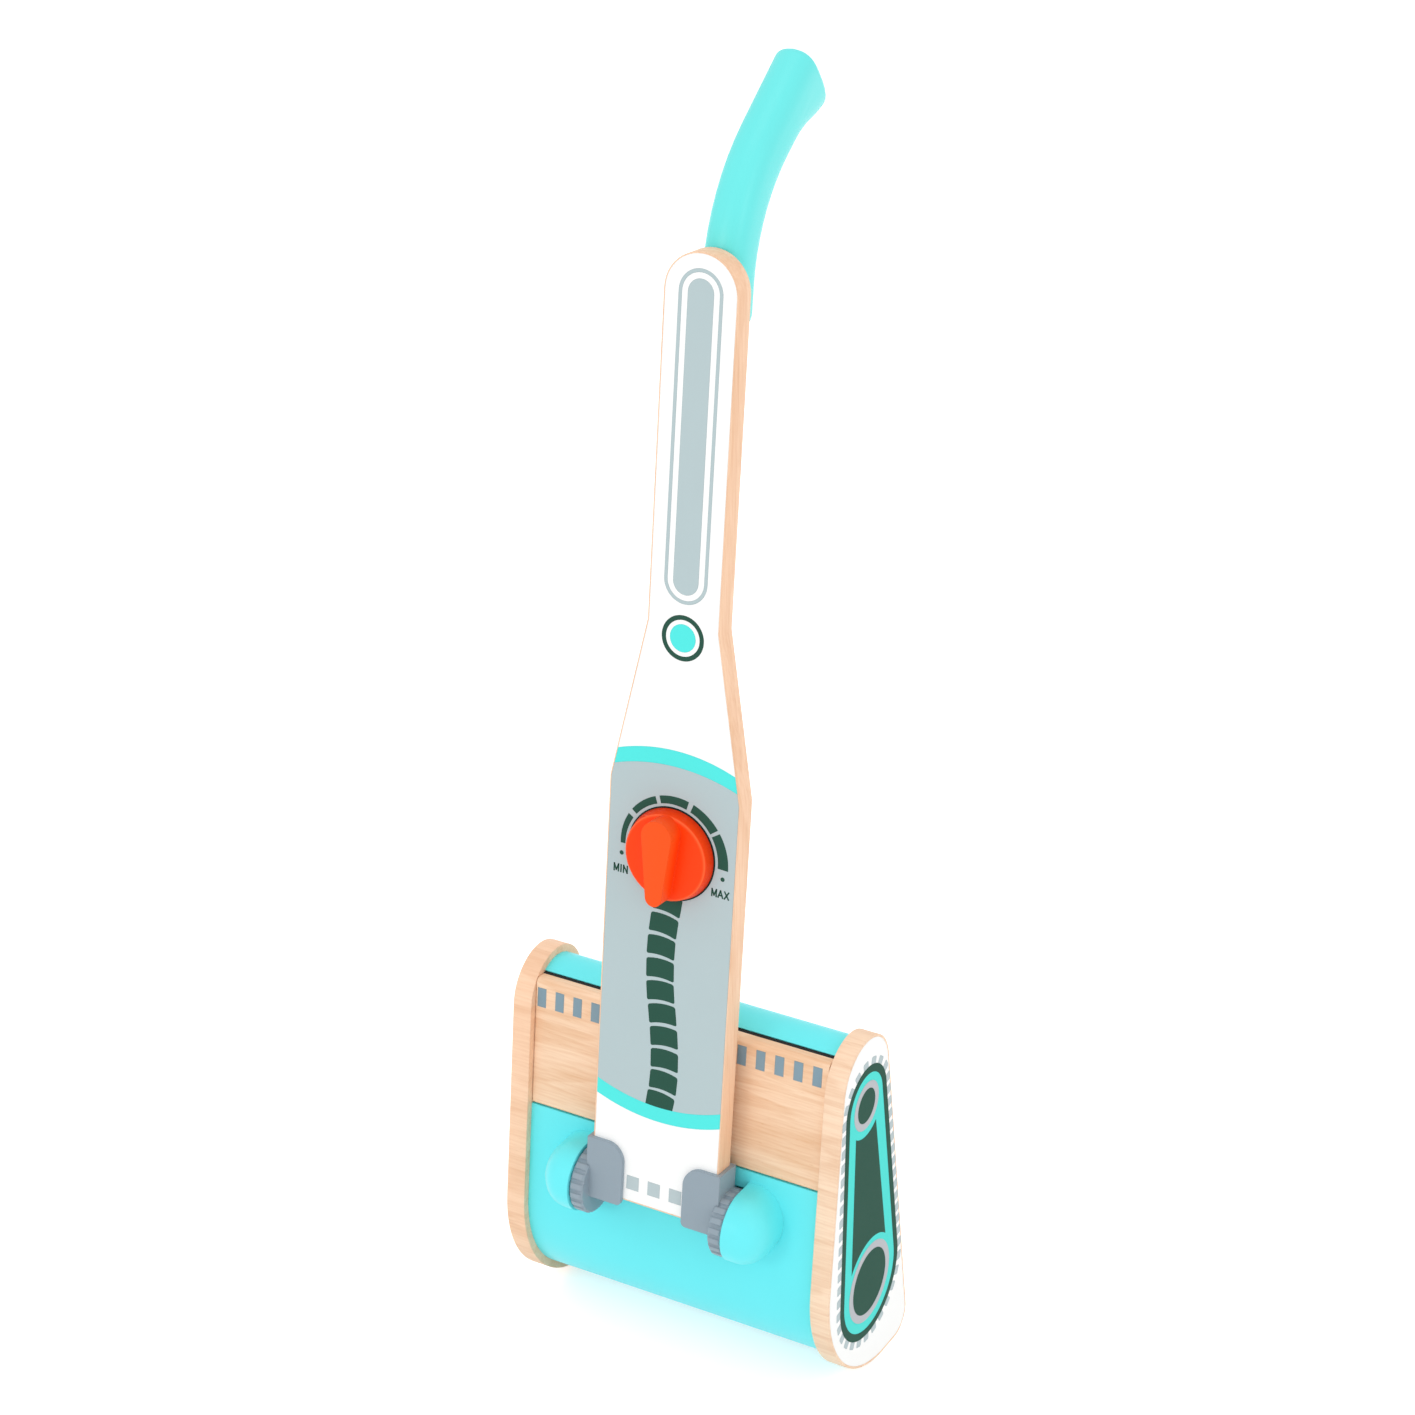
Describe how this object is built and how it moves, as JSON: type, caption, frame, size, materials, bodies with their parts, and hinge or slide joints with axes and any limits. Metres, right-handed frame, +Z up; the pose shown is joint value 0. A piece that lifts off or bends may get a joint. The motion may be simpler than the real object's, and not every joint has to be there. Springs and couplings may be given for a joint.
{
  "type": "toy vacuum cleaner",
  "caption": "Wooden toy vacuum cleaner: a wheeled head between end plates, with a hinged flat stick that carries a turning dial and a bent plastic grip.",
  "frame": {"origin": "on the floor under the middle of the part's width and depth", "axes": "+X to the right as seen from the front, +Y to the back, +Z up; the stick is parked upright"},
  "size_m": [0.166, 0.1476, 0.5816],
  "materials": {
    "pale_wood": "clear satin lacquer, faces printed white",
    "sky_blue_plastic": "satin moulded plastic",
    "grey_plastic": "satin moulded plastic",
    "orange_plastic": "satin moulded plastic",
    "tyre_rubber": "matt",
    "black_seal": "matt",
    "steel": "plain"
  },
  "bodies": {
    "head": {"left_end_plate": "pale_wood", "right_end_plate": "pale_wood", "front_panel": "pale_wood", "upper_shell": "sky_blue_plastic", "lower_shell": "sky_blue_plastic", "sole_plate": "pale_wood", "slot_seal": "black_seal", "tie_dowel_top": "pale_wood", "tie_dowel_front": "pale_wood", "tie_dowel_back": "pale_wood", "corner_blocks": "pale_wood", "sole_screws": "steel", "hinge_pin_left": "steel", "hinge_pin_right": "steel", "friction_washer_left": "steel", "friction_washer_right": "steel"},
    "front_wheels": {"front_axle": "steel", "front_wheel_left": "pale_wood", "front_wheel_right": "pale_wood", "front_tyre_left": "tyre_rubber", "front_tyre_right": "tyre_rubber"},
    "rear_wheels": {"rear_axle": "steel", "rear_wheel_left": "pale_wood", "rear_wheel_right": "pale_wood", "rear_tyre_left": "tyre_rubber", "rear_tyre_right": "tyre_rubber"},
    "stick": {"stick_board": "pale_wood", "bracket_left": "grey_plastic", "bracket_right": "grey_plastic", "bracket_screws": "steel", "grip": "sky_blue_plastic", "grip_screws": "steel", "click_spring": "steel", "click_ball": "steel"},
    "dial": {"dial_knob": "orange_plastic", "dial_washer": "steel", "dial_screw": "steel"}
  },
  "joints": [
    {"name": "stick_hinge", "type": "hinge", "parent": "head", "child": "stick", "pos_m": [0, -0.05774, 0.0898], "axis": [1, 0, 0], "range_deg": [0, 95]},
    {"name": "dial_turn", "type": "hinge", "parent": "stick", "child": "dial", "pos_m": [0, -0.04669, 0.25919], "axis": [0, -0.9943, 0.1068], "continuous": true},
    {"name": "front_wheels_roll", "type": "hinge", "parent": "head", "child": "front_wheels", "pos_m": [0, -0.00487, 0.05046], "axis": [1, 0, 0], "continuous": true},
    {"name": "rear_wheels_roll", "type": "hinge", "parent": "head", "child": "rear_wheels", "pos_m": [0, -0.00883, 0.12278], "axis": [1, 0, 0], "continuous": true}
  ]
}
